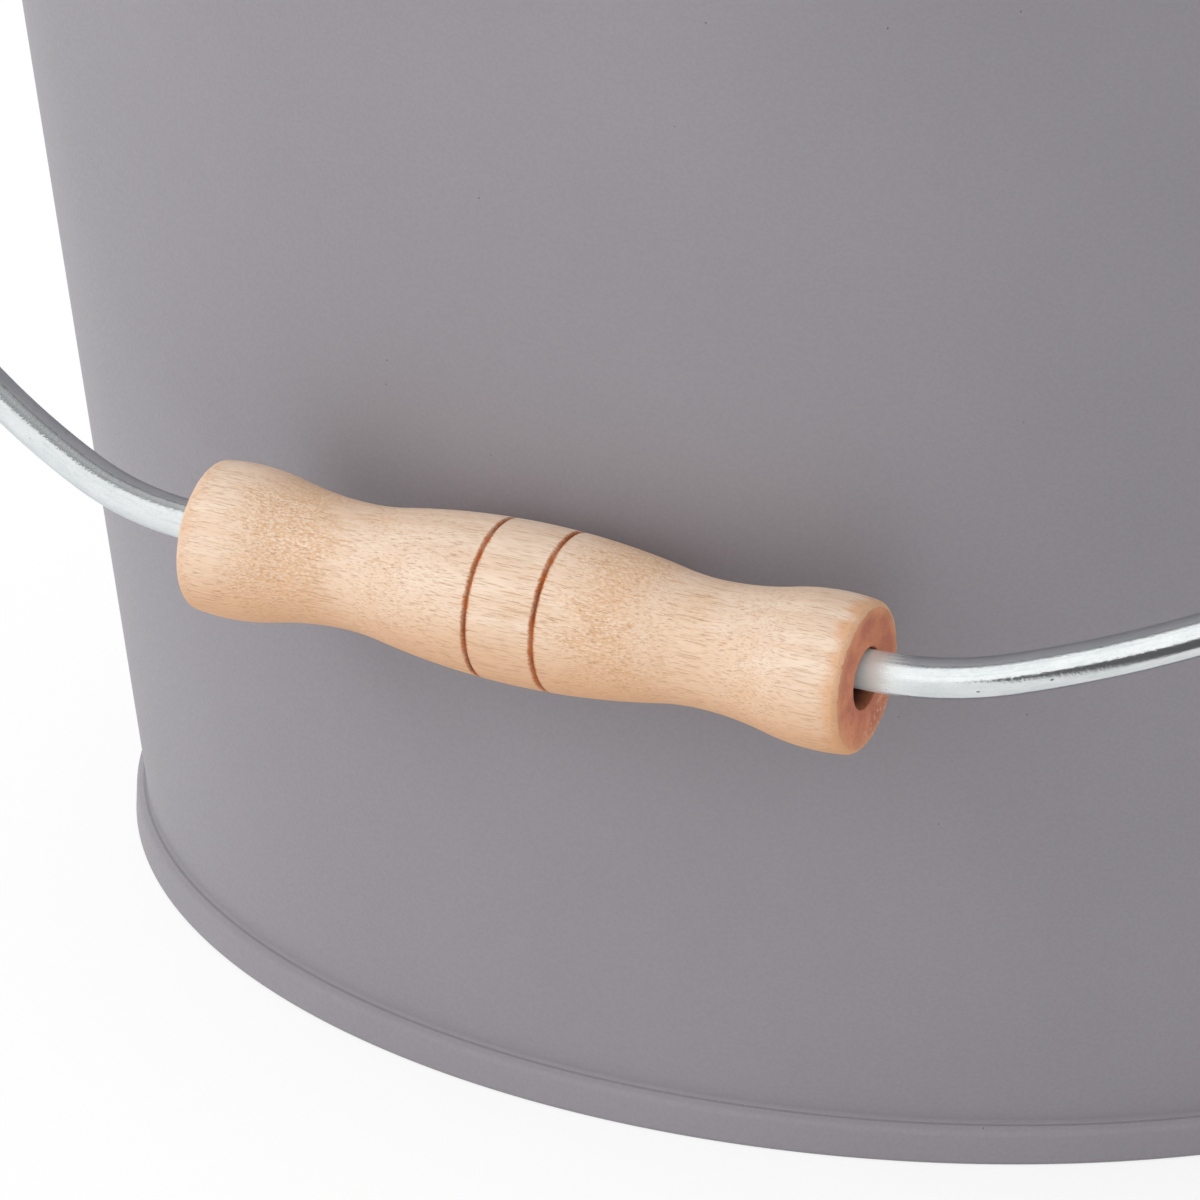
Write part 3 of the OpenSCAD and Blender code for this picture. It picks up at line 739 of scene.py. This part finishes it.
def boss_x(reach):
    """Where the boss's face lies at a distance from the bail's axis: flat, rounded, then steep"""
    if reach < BOSS_FLAT_R:
        return BOSS_FACE
    if reach < BOSS_SIDE_R:
        drop = math.sqrt(max(0.0, BOSS_ROUND ** 2 - (reach - BOSS_FLAT_R) ** 2))
        return BOSS_FACE - BOSS_ROUND + drop
    return BOSS_FACE - BOSS_SIDE_X - (reach - BOSS_SIDE_R) * BOSS_SIDE_SLOPE


def ear_x(y, z):
    flange = math.sqrt((wall_r(z) + lean(FIT + EAR_SHEET)) ** 2 - y * y)
    boss = boss_x(math.hypot(y, z - AXIS_Z))
    soft = max(0.0, EAR_FILLET - abs(flange - boss)) / EAR_FILLET
    return max(flange, boss) + soft * soft * EAR_FILLET / 4


def flange_edge(angle):
    """Distance from the axis to the flange's edge, which is a bar with round ends"""
    c, s = abs(math.cos(angle)), abs(math.sin(angle))
    end_r = EAR_H / 2
    end_y = EAR_W / 2 - end_r
    if c * end_r <= end_y * s:
        return end_r / s
    return end_y * c + math.sqrt(end_r ** 2 - (end_y * s) ** 2)


print("the boss stands", round(BOSS_FACE - wall_r(AXIS_Z), 1), "mm off the wall")

# %% The two ears
HOLE_R, BOSS_FOOT_R, EAR_COLUMNS = 3.3, 13.2, 120


def ear(name, side):
    """Each column of the grid runs from the hole, over boss and flange, out to the edge."""
    rings = [HOLE_R, 5.5, BOSS_FLAT_R, 8.6, 9.2, 9.7, 10.1, BOSS_SIDE_R, 10.8, 11.3, 11.8, 12.3,
             12.6, 12.9, BOSS_FOOT_R]
    shape = bmesh.new()
    grid = []
    for k in range(EAR_COLUMNS):
        angle = math.tau * k / EAR_COLUMNS
        flange = flange_edge(angle) - BOSS_FOOT_R
        column = []
        for r in rings + [BOSS_FOOT_R + flange * share for share in (0.15, 0.4, 0.7, 0.9, 1)]:
            y, z = r * math.cos(angle), AXIS_Z + r * math.sin(angle)
            column.append(shape.verts.new((side * ear_x(y, z) * MM, y * MM, z * MM)))
        grid.append(column)
    for a, b in zip(grid, grid[1:] + grid[:1]):
        for i in range(len(a) - 1):
            corners = (a[i], a[i + 1], b[i + 1], b[i])
            shape.faces.new(corners if side > 0 else corners[::-1])
    shape.normal_update()
    piece = added(name, coated_mesh(shape, name))
    steel = piece.modifiers.new("steel", "SOLIDIFY")
    steel.thickness, steel.offset, steel.use_even_offset = EAR_SHEET * MM, -1, True
    edges = piece.modifiers.new("broken edges", "BEVEL")
    edges.width, edges.segments, edges.limit_method = 0.25 * MM, 2, "ANGLE"
    edges.angle_limit = math.radians(50)
    return made_plain(piece, outwards=False)


ear_right, ear_left = ear("ear_right", 1), ear("ear_left", -1)

# %% [markdown]
# Two rivets hold each ear. They are all alike, so one rivet is turned once and placed by a tree:
# the points say where, and an attribute on each says which way is out.

# %% One rivet, and the tree that places it
HEAD_R, HEAD_H, HEAD_Z, SHANK_R = 3.8, 2.0, 1.344, 2.0
TAIL_R, TAIL_H, TAIL_Z = 3.23, 1.2, -0.894
dome_r = (HEAD_R ** 2 + HEAD_H ** 2) / (2 * HEAD_H)
dome = arc((0, HEAD_H - dome_r), dome_r, 90, -math.degrees(math.asin(HEAD_R / dome_r)), 14)
rivet_line = [Vector((p.x, p.y + HEAD_Z)) for p in dome]
rivet_line += rounded([(HEAD_R, HEAD_Z, 0), (SHANK_R, HEAD_Z, 0), (SHANK_R, TAIL_Z, 0),
                       (TAIL_R, TAIL_Z, 0.2), (TAIL_R, TAIL_Z - TAIL_H, 0.5),
                       (0, TAIL_Z - TAIL_H, 0)], 5)[1:]
one_rivet = turned_piece("one rivet", rivet_line, coated_steel, steps=48)

placing = ShapeTree("rivets on points", {"Rivet": "Object"})
standing = placing.node("FunctionNodeAlignRotationToVector", "Rotation", {
    "Vector": placing.attribute("outwards", "FLOAT_VECTOR")}, axis="Z")
rivet_shape = placing.node("ObjectInfo", "Geometry", {"Object": placing.given["Rivet"]})
placing.end(placing.chain(placing.given["Shape"], (
    "InstanceOnPoints", {"Instance": rivet_shape, "Rotation": standing})))

# %% Rivets of each ear
RIVET_OUT = 20.5


def rivets(name, side):
    turn = math.asin(RIVET_OUT / wall_r(AXIS_Z))
    spots, outwards = [], []
    for t in (-turn, turn):
        round_wall = Vector((side * math.cos(t), math.sin(t), 0))
        spots.append(round_wall * wall_r(AXIS_Z) * MM + Vector((0, 0, AXIS_Z * MM)))
        outwards.append(round_wall * math.cos(TAPER) - Vector((0, 0, math.sin(TAPER))))
    mesh = bpy.data.meshes.new(name)
    mesh.from_pydata(spots, [], [])
    held = mesh.attributes.new("outwards", "FLOAT_VECTOR", "POINT")
    held.data.foreach_set("vector", [x for v in outwards for x in v])
    return made_with(name, mesh, placing.tree, {"Rivet": one_rivet, "Finish": coated_steel})


rivets_right, rivets_left = rivets("rivets_right", 1), rivets("rivets_left", -1)
bpy.data.objects.remove(one_rivet)

# %% [markdown]
# ## The bail
# One length of 6 mm wire is bent in a plane: straight through the grip, two gentle bends, two wide
# arcs, straight legs, and a tight corner into each ear, where the end is upset to a head so that it
# can't pull out. The path is a line of points. The tree carries a circle along it, swells it at the
# heads, and stores the wire laid out straight for the streaks of the zinc.

# %% Path of the wire
WIRE_R, LEG_X, BAIL_DROP, BAIL_TILT = 3, 184.005, 204.504, math.radians(48.1749)
STRAIGHT_X, BEND_R, BEND_TURN = HALF_GRIP + 0.5, 56, 22.5
ARC_R, LEG_FOOT, CORNER_R, WIRE_END = 176.692, -37, 6, 169.9
HEAD = ((2.55, 1), (2.5, 1.33), (2.2, 1.5), (1.1, 1.5), (0.4, 1.5), (0, 1.3))

half = [Vector((x, -BAIL_DROP)) for x in (0, 9, 18, 27, 36, 45, STRAIGHT_X)]
half += arc((STRAIGHT_X, BEND_R - BAIL_DROP), BEND_R, -90, BEND_TURN, 18)[1:]
half += arc((LEG_X - ARC_R, LEG_FOOT), ARC_R, BEND_TURN - 90, 90 - BEND_TURN, 70)[1:]
half += [Vector((LEG_X, z)) for z in (-34, -28, -20, -12, -8)]
half += arc((LEG_X - CORNER_R, -CORNER_R), CORNER_R, 0, 90, 18)
half += [Vector((x, 0)) for x in (175, 173)]
fatness = [1.0] * len(half)
for from_end, fat in HEAD:
    half.append(Vector((WIRE_END + from_end, 0)))
    fatness.append(fat)
path = [Vector((-p.x, p.y)) for p in half[:0:-1]] + half
fatness = fatness[:0:-1] + fatness


def hung(x, z):
    """A point of the bail's own plane, tilted to where it hangs at rest, in metres"""
    return Vector((x, z * math.sin(BAIL_TILT), AXIS_Z + z * math.cos(BAIL_TILT))) * MM


print("the wire is", round(sum((a - b).length for a, b in zip(path, path[1:]))), "mm long")

# %% The tree that draws a wire along a path
drawing = ShapeTree("wire along a path", {"Radius": "Float", "Steps round": "Int"})
ring = drawing.stored(drawing.circle(), "across", "FLOAT_VECTOR", drawing.node("InputPosition"))
route = drawing.chain(drawing.given["Shape"], ("MeshToCurve", {}))
from_middle = drawing.node("ShaderNodeMath", 0, {
    0: drawing.node("SplineLength", "Length"), 1: -0.5,
    2: drawing.node("SplineParameter", "Length")}, operation="MULTIPLY_ADD")
route = drawing.stored(route, "run", "FLOAT", from_middle)
wire = drawing.chain(route, ("CurveToMesh", {
    "Profile Curve": ring, "Scale": drawing.attribute("fatness", "FLOAT"), "Fill Caps": True}))
across = drawing.node("ShaderNodeSeparateXYZ", 0, {
    0: drawing.attribute("across", "FLOAT_VECTOR")}).node.outputs
laid = drawing.node("ShaderNodeCombineXYZ", "Vector", {
    "X": drawing.attribute("run", "FLOAT"), "Y": across["X"], "Z": across["Y"]})
drawing.end(drawing.stored(wire, "laid_straight", "FLOAT_VECTOR", laid))
print("wire tree:", len(drawing.tree.nodes), "nodes")

# %% The bail
mesh = line_mesh("bail", [hung(p.x, p.y) for p in path], closed=False)
mesh.attributes.new("fatness", "FLOAT", "POINT").data.foreach_set("value", fatness)
bail = made_with("bail", mesh, drawing.tree, {"Radius": WIRE_R * MM, "Steps round": 48,
                                              "Finish": zinc_wire})

# %% [markdown]
# ## The grip
# The grip is turned between centres: a full middle, two hollow waists and two swollen ends, each
# arc running into the next. It is bored right through, loose on the wire, and the two grooves are
# burnt in with a wire while it spins. It goes through the same tree, standing up, and is laid along
# X afterwards, by moving its points.

# %% Outline of the grip
FULL_R, WAIST_R, END_R, WAIST_X, SWELL_X = 12.0, 9.4, 11.6, 28.4, 47.5
IN_R, OUT_R, END_ROUND = 34.0, 50.0, 1.1


def full_arc(dx, rise, hollow):
    """Radius of the full arc that touches a hollow arc, with its top dx further and rise higher"""
    return dx * dx / (2 * rise) + rise / 2 - hollow


belly = full_arc(WAIST_X, FULL_R - WAIST_R, IN_R)
swell = full_arc(SWELL_X - WAIST_X, END_R - WAIST_R, OUT_R)
into_waist = math.degrees(math.asin(WAIST_X / (belly + IN_R)))
into_swell = math.degrees(math.asin((SWELL_X - WAIST_X) / (swell + OUT_R)))
at_end = math.degrees(math.asin((HALF_GRIP - END_ROUND - SWELL_X) / (swell - END_ROUND)))
edge_r = END_R - swell + (swell - END_ROUND) * math.cos(math.radians(at_end))
outline = arc((0, FULL_R - belly), belly, 90, -into_waist, 60)
outline += arc((WAIST_X, WAIST_R + IN_R), IN_R, 270 - into_waist, into_waist, 14)[1:]
outline += arc((WAIST_X, WAIST_R + OUT_R), OUT_R, 270, into_swell, 14)[1:]
outline += arc((SWELL_X, END_R - swell), swell, 90 + into_swell, -into_swell - at_end, 20)[1:]
outline += arc((HALF_GRIP - END_ROUND, edge_r), END_ROUND, 90 - at_end, at_end - 90, 8)[1:]
print("the outline has", len(outline), "points")

# %% Grooves, end faces and bore
GROOVE_HALF, GROOVE_DEEP = 0.48, 0.45


def grooved(x, r):
    """The outline's radius with a burnt groove cut in, a V"""
    away = abs(abs(x) - GROOVE_X)
    return r - GROOVE_DEEP * max(0.0, 1 - away / GROOVE_HALF)


fine_x = [GROOVE_X - 1 + 0.1 * k for k in range(21)]
near = [Vector((x, FULL_R - belly + math.sqrt(belly ** 2 - x * x))) for x in fine_x]
outline = ([p for p in outline if p.x < GROOVE_X - 1.1] + near
           + [p for p in outline if p.x > GROOVE_X + 1.1])
outline = [Vector((p.x, grooved(p.x, p.y))) for p in outline]
end_face = [Vector((HALF_GRIP, r)) for r in (10.0, 9.0, 8.0, 7.0, 6.2, 5.5)]
bore = [Vector((HALF_GRIP - back_by, BORE_R + wider))
        for back_by, wider in ((0, 0.45), (0.1, 0.15), (0.4, 0), (4, 0), (20, 0))]
half_outline = [Vector((p.y, p.x)) for p in outline + end_face + bore]
other_half = [Vector((p.x, -p.y)) for p in reversed(half_outline) if p.y > 0]
grip = turned_piece("grip", other_half + half_outline, grip_wood, closed=True, steps=220)

# %% [markdown]
# A saw and a drill leave a rough end: the face dips a little, splinters are missing at its edge and
# the bore's lip is torn. A smooth noise pushes those points inwards, never outwards, so that the
# grip keeps its length.

# %% Rough ends, and the grip laid on the wire
ROUGH_FROM, ROUGH_OVER = HALF_GRIP - 1.4, 1.2
EDGE_AT, EDGE_WIDE, LIP_AT, LIP_WIDE = 10.9, 1.4, 4.9, 0.7


def roughened(p):
    """p is a point of the standing grip in millimetres; Z is its axis"""
    reach = math.hypot(p.x, p.y)
    depth = max(0.0, min(1.0, (abs(p.z) - ROUGH_FROM) / ROUGH_OVER))
    if not depth or reach < BORE_R - 0.1:
        return p
    coarse = 0.5 + 0.5 * noise.noise(p * 0.45)
    fine = 0.5 + 0.5 * noise.noise(p * 1.7 + Vector((7, 3, 1)))
    chip = max(0.0, noise.noise(Vector((p.x * 0.8, p.y * 0.8, p.z * 0.2 + 4))) - 0.36)
    at_edge = max(0.0, 1 - abs(reach - EDGE_AT) / EDGE_WIDE)
    at_lip = max(0.0, 1 - abs(reach - LIP_AT) / LIP_WIDE)
    dip = 0.04 * coarse + 0.05 * fine + 0.64 * chip * (at_edge + 0.6 * at_lip)
    return Vector((p.x, p.y, p.z - math.copysign(dip * depth, p.z)))


for point in grip.data.vertices:
    p = roughened(point.co / MM) * MM
    point.co = GRIP_CENTRE + Vector((p.z, p.y, -p.x))
crisp(grip.data)
print("grip is", [round(x * 1000, 1) for x in grip.dimensions], "mm")

# %% [markdown]
# ## The lid
# The lid is pressed from one disc: a flat border that lies on the rim, a step that stiffens it, a
# low crown, and a skirt whose edge is curled outwards into a bead, so that no raw edge is left.

# %% Lid
LID_Z, LID_SHEET, LID_GAP, CURL, SKIRT_DEEP = 258.5, 0.8, 0.9, 1.0, 9
BORDER_W, STEP_W, STEP_H, CROWN_RISE, SEAT_R, SCREW_HOLE_R = 24, 7, 7, 10.0, 20.0, 2.8
SKIRT_R = ROLL_R + ROLL_OUT + LID_GAP + LID_SHEET / 2
CROWN_R = SKIRT_R - BORDER_W - STEP_W
ball = (CROWN_R ** 2 + CROWN_RISE ** 2) / (2 * CROWN_RISE)
ball_z = LID_Z + STEP_H + CROWN_RISE - ball
seat_z = ball_z + math.sqrt(ball ** 2 - SEAT_R ** 2)
turn_in, turn_out = (math.degrees(math.asin(r / ball)) for r in (SEAT_R, CROWN_R))
crown = arc((0, ball_z), ball, 90 - turn_in, turn_in - turn_out, 20)
curl_z = LID_Z - SKIRT_DEEP + CURL
pressed = rounded([(SCREW_HOLE_R, seat_z, 0)] + [(p.x, p.y, 0) for p in crown[:-1]] + [
    (CROWN_R, LID_Z + STEP_H, 4), (SKIRT_R - BORDER_W, LID_Z, 3), (SKIRT_R, LID_Z, 2.2),
    (SKIRT_R, curl_z + 0.5, 0)], 12)
pressed += arc((SKIRT_R + CURL, curl_z), CURL, 180, 250, 20)
lid = turned_piece("lid", sheet_outline(pressed, LID_SHEET), coated_steel, closed=True)

# %% [markdown]
# The knob is turned from the same wood, with its grain upright, and one burnt groove round its
# head. A screw holds it from below, so it is drilled part of the way up.

# %% Knob
KNOB_FOOT_R, DRILL_R, DRILL_H = 12, 2.55, 21.6
groove_low, groove_high = KNOB_GROOVE_Z - 0.75, KNOB_GROOVE_Z + 0.75
knob_line = rounded([(0, DRILL_H, 0), (DRILL_R, DRILL_H, 0), (DRILL_R, 0, 0),
                     (KNOB_FOOT_R, 0, 0.8), (KNOB_FOOT_R, 3.5, 1.5), (9, 9.52, 7),
                     (KNOB_R, 17, 5), (KNOB_R, 32.5, 8.5), (0, KNOB_H, 0)], 16)
knob_line = [p for p in steadied(knob_line) if not groove_low < p.y < groove_high or p.x < 15]
at_groove = next(i for i, p in enumerate(knob_line) if p.y >= groove_high and p.x > 15)
knob_line[at_groove:at_groove] = [
    Vector((KNOB_R - 0.6 * max(0.0, 1 - abs(z - KNOB_GROOVE_Z) / 0.68) ** 0.9, z))
    for z in (KNOB_GROOVE_Z + 0.1 * k for k in range(-7, 8))]
knob = turned_piece("knob", [Vector((p.x, p.y + KNOB_Z)) for p in knob_line], knob_wood, steps=200)

# %% [markdown]
# ## Each piece takes its place
# A piece rides on the body that it moves with and stands for its CAD node. The small steel
# fittings already have their shape, so their CAD nodes stay and only get a finish.

# %% Bodies, nodes and finishes
for piece, body, node, slot in (
        (wall, "bucket", "bucket_wall", "coated_steel"),
        (base_pan, "bucket", "base_pan", "coated_base"),
        (raised_floor, "bucket", "ash_floor", "coated_steel"),
        (ear_right, "bucket", "right_ear", "coated_steel"),
        (ear_left, "bucket", "left_ear", "coated_steel"),
        (rivets_right, "bucket", "right_ear_rivets", "coated_steel"),
        (rivets_left, "bucket", "left_ear_rivets", "coated_steel"),
        (bail, "bail", "bail_wire", "zinc_wire"),
        (grip, "grip", "bail_grip", "turned_wood"),
        (lid, "lid", "lid_shell", "coated_steel"),
        (knob, "lid", "lid_knob", "turned_wood")):
    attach(piece, body)
    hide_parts(node)
for node, finish in (("rim_wire", drawn_wire), ("knob_collar", zinc_fittings),
                     ("knob_screw", zinc_fittings), ("knob_washer", zinc_fittings)):
    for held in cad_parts[node].material_slots:
        held.material = finish

# %% [markdown]
# ## Floor, sky and lamp
# The object stands on a plain white table, inside a tent of white cloth. To the camera the table is
# lifted to white, but it keeps a share of real light, so the object's shadow stays. Much of the
# light on the wall comes up from the table: that is why the shadow of the grip lies above it.
#
# Bright wire is a mirror, so it shows the room. In reflections the table is a little brighter at
# the left, and a dark card lies on it in front of the object, at the right: it gives the wire the
# dark line that makes it look round.

# %% Floor
LIFT, CARD_LEFT_EDGE, CARD_NEAR_EDGE = 0.74, (0.115, 0.165), (0.19, 0.24)

table = bpy.data.meshes.new("table")
table.from_pydata([(-6, -6, 0), (6, -6, 0), (6, 6, 0), (-6, 6, 0)], [], [(0, 1, 2, 3)])
floor = added("floor", table)

white = Finish("white table")
rays = white.node("LightPath").node.outputs
mirrored_ray = rays["Is Glossy Ray"]
shown = white.larger(white.larger(rays["Is Camera Ray"], mirrored_ray),
                     rays["Is Transmission Ray"])
spot = white.axes(white.place)
card = white.times(white.ramp(spot["X"], *CARD_LEFT_EDGE),
                   white.ramp(white.times(spot["Y"], -1.0), *CARD_NEAR_EDGE))
card = white.times(card, mirrored_ray)
brighter = white.times(mirrored_ray, white.ramp(spot["X"], -0.25, 0.05, -0.16, -0.03))
strength = white.minus(LIFT, white.plus(white.times(card, LIFT), brighter))
real_light = white.node("BsdfDiffuse", 0, {
    "Color": white.tint(card, (0.30, 0.30, 0.30, 1), (0.03, 0.03, 0.035, 1))})
own_light = white.node("Emission", 0, {"Color": (1, 1, 1, 1), "Strength": strength})
lifted = white.node("AddShader", 0, {0: real_light, 1: own_light})
plain = white.node("BsdfDiffuse", 0, {"Color": (0.88, 0.88, 0.88, 1)})
mixed = white.node("MixShader", 0, {0: shown, 1: plain, 2: lifted})
white.put(white.tree.nodes["Material Output"].inputs["Surface"], mixed)
white.tree.nodes.remove(white.shader)
table.materials.append(white.material)
print("floor ready")

# %% [markdown]
# The tent is the sky. Its light comes mostly from the sides, more from the left than from the
# right, and its roof is grey, so the top of a round thing is darker than its front. Reflections
# see the same tent: white cloth all round, a grey roof that slants over the left side and has a
# dark hem there, and a low gap at the right, where the cloth doesn't reach the table.

# %% Sky
world = bpy.data.worlds.new("studio")
bpy.context.scene.world = world
world.use_nodes = True
sky = Shading(world.node_tree)
way = sky.axes(sky.node("TexCoord", "Generated"))
tent = sky.times(sky.ramp(way["Z"], 0.78, 0.88, 1.06, 0.50),
                 sky.ramp(way["X"], -0.8, 0.9, 1.20, 0.77))

slant = sky.minus(way["Z"], way["X"])
cloth = sky.ramp(way["X"], -0.6, -0.1, 1.21, 1.38)
hem = sky.times(sky.ramp(slant, 1.17, 1.23), sky.ramp(slant, 1.255, 1.315, 0.34, 0.08))
roof = sky.minus(sky.ramp(way["Z"], 0.77, 0.95, 0.54, 0.70), hem)
roof_share = sky.larger(sky.ramp(slant, 1.20, 1.27), sky.ramp(way["Z"], 0.90, 0.93))
gap = sky.times(sky.ramp(way["Z"], 0.03, 0.07, 0.92, 0.0), sky.ramp(way["X"], -0.10, 0.10))
mirrored = sky.times(sky.between(roof_share, cloth, roof), sky.minus(1.0, gap))

rays = sky.node("LightPath").node.outputs
tent = sky.between(rays["Is Glossy Ray"], tent, mirrored)
straight_ray = sky.larger(rays["Is Camera Ray"], rays["Is Transmission Ray"])
backdrop = world.node_tree.nodes["Background"]
sky.put(backdrop.inputs["Color"], (1, 1, 1, 1))
sky.put(backdrop.inputs["Strength"], sky.between(straight_ray, tent, 1.0))
print("sky ready")

# %% [markdown]
# One weak key lamp stands at the left of the camera and only adds a direction to the shadows.

# %% Key lamp
light = bpy.data.lights.new("key lamp", "AREA")
light.shape, light.size, light.energy = "DISK", 1.2, 7
lamp = added("key lamp", light)
lamp.location = (-0.9, -1.3, 1.4)
lamp.rotation_euler = (Vector((0, 0, 0.1)) - lamp.location).to_track_quat("-Z", "Y").to_euler()
lamp.visible_glossy = False
print("lamp:", lamp.name, light.energy, "watts")
